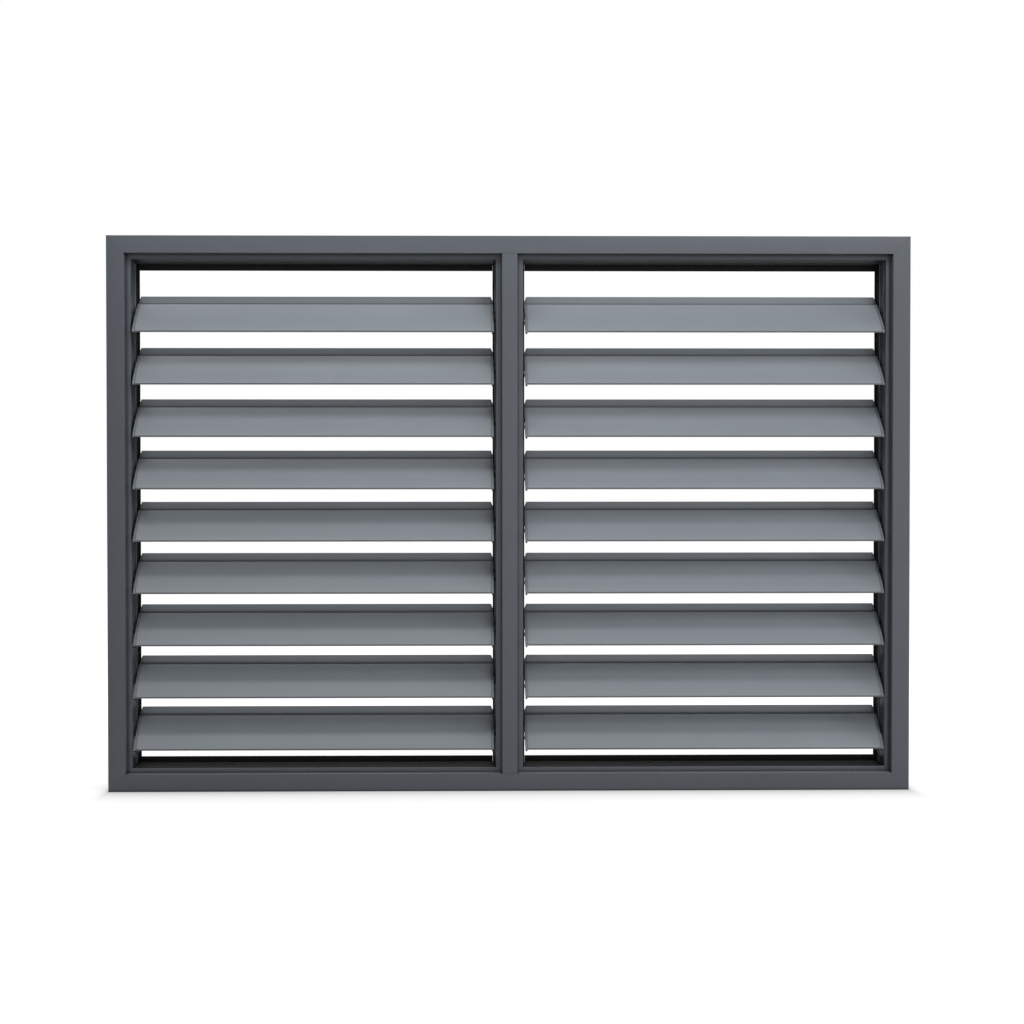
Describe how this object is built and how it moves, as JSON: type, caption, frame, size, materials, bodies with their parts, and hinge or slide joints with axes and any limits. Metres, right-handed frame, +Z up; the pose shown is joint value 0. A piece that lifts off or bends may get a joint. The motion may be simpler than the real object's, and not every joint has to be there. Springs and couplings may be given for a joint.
{
  "type": "louvre window",
  "caption": "Louvre window: a mitred stepped frame with a mullion between bays of sloping blades with capped ends, open to the air between the blades.",
  "frame": {"origin": "middle of the underside of the sill, halfway through the depth of the frame", "axes": "+X along the width to the right seen from the front, +Y from the front to the back, +Z up"},
  "size_m": [1.15, 0.065, 0.795],
  "materials": {
    "frame_coat": "satin",
    "blade_coat": "satin",
    "cap_coat": "satin",
    "black_coat": "matte",
    "black_nylon": "matte",
    "black_rubber": "matte"
  },
  "bodies": {
    "root": {"frame_head": "frame_coat", "frame_jamb_left": "frame_coat", "frame_jamb_right": "frame_coat", "frame_sill": "frame_coat", "mullion": "frame_coat", "blade_left_1": "blade_coat", "blade_left_2": "blade_coat", "blade_left_3": "blade_coat", "blade_left_4": "blade_coat", "blade_left_5": "blade_coat", "blade_left_6": "blade_coat", "blade_left_7": "blade_coat", "blade_left_8": "blade_coat", "blade_left_9": "blade_coat", "end_caps_left_outer": "cap_coat", "bushes_left_outer": "black_nylon", "tip_feet_left_outer": "black_rubber", "end_caps_left_inner": "cap_coat", "bushes_left_inner": "black_nylon", "tip_feet_left_inner": "black_rubber", "back_angle_left_outer": "black_coat", "back_angle_left_inner": "black_coat", "back_angle_left_top": "black_coat", "back_angle_left_bottom": "black_coat", "blade_right_1": "blade_coat", "blade_right_2": "blade_coat", "blade_right_3": "blade_coat", "blade_right_4": "blade_coat", "blade_right_5": "blade_coat", "blade_right_6": "blade_coat", "blade_right_7": "blade_coat", "blade_right_8": "blade_coat", "blade_right_9": "blade_coat", "end_caps_right_outer": "cap_coat", "bushes_right_outer": "black_nylon", "tip_feet_right_outer": "black_rubber", "end_caps_right_inner": "cap_coat", "bushes_right_inner": "black_nylon", "tip_feet_right_inner": "black_rubber", "back_angle_right_outer": "black_coat", "back_angle_right_inner": "black_coat", "back_angle_right_top": "black_coat", "back_angle_right_bottom": "black_coat"}
  },
  "joints": []
}
